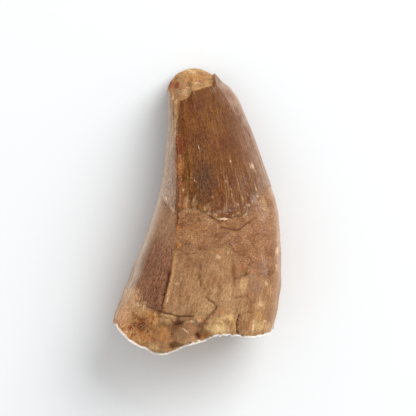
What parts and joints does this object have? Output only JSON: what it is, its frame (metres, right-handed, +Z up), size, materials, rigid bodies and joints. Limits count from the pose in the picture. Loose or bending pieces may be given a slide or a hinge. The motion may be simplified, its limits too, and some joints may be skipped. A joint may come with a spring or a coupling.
{
  "type": "fossil mosasaur tooth",
  "caption": "Curved fossil reptile tooth lying on its side: ridged enamel crown with a broken tip, on a swollen root snapped off ragged at its end.",
  "frame": {"origin": "bottom centre of the tooth's box, on the surface it lies on", "axes": "+Y from the broken root towards the broken tip, +X towards the long convex edge, +Z up out of the face that is seen"},
  "size_m": [0.0352, 0.0598, 0.0231],
  "materials": {
    "fossil": "fossil tooth: brown striated enamel with a soft sheen over a granular orange-brown root, dull and cracked, with cream, red and dark stains"
  },
  "bodies": {
    "root": {"tooth": "fossil"}
  },
  "joints": []
}
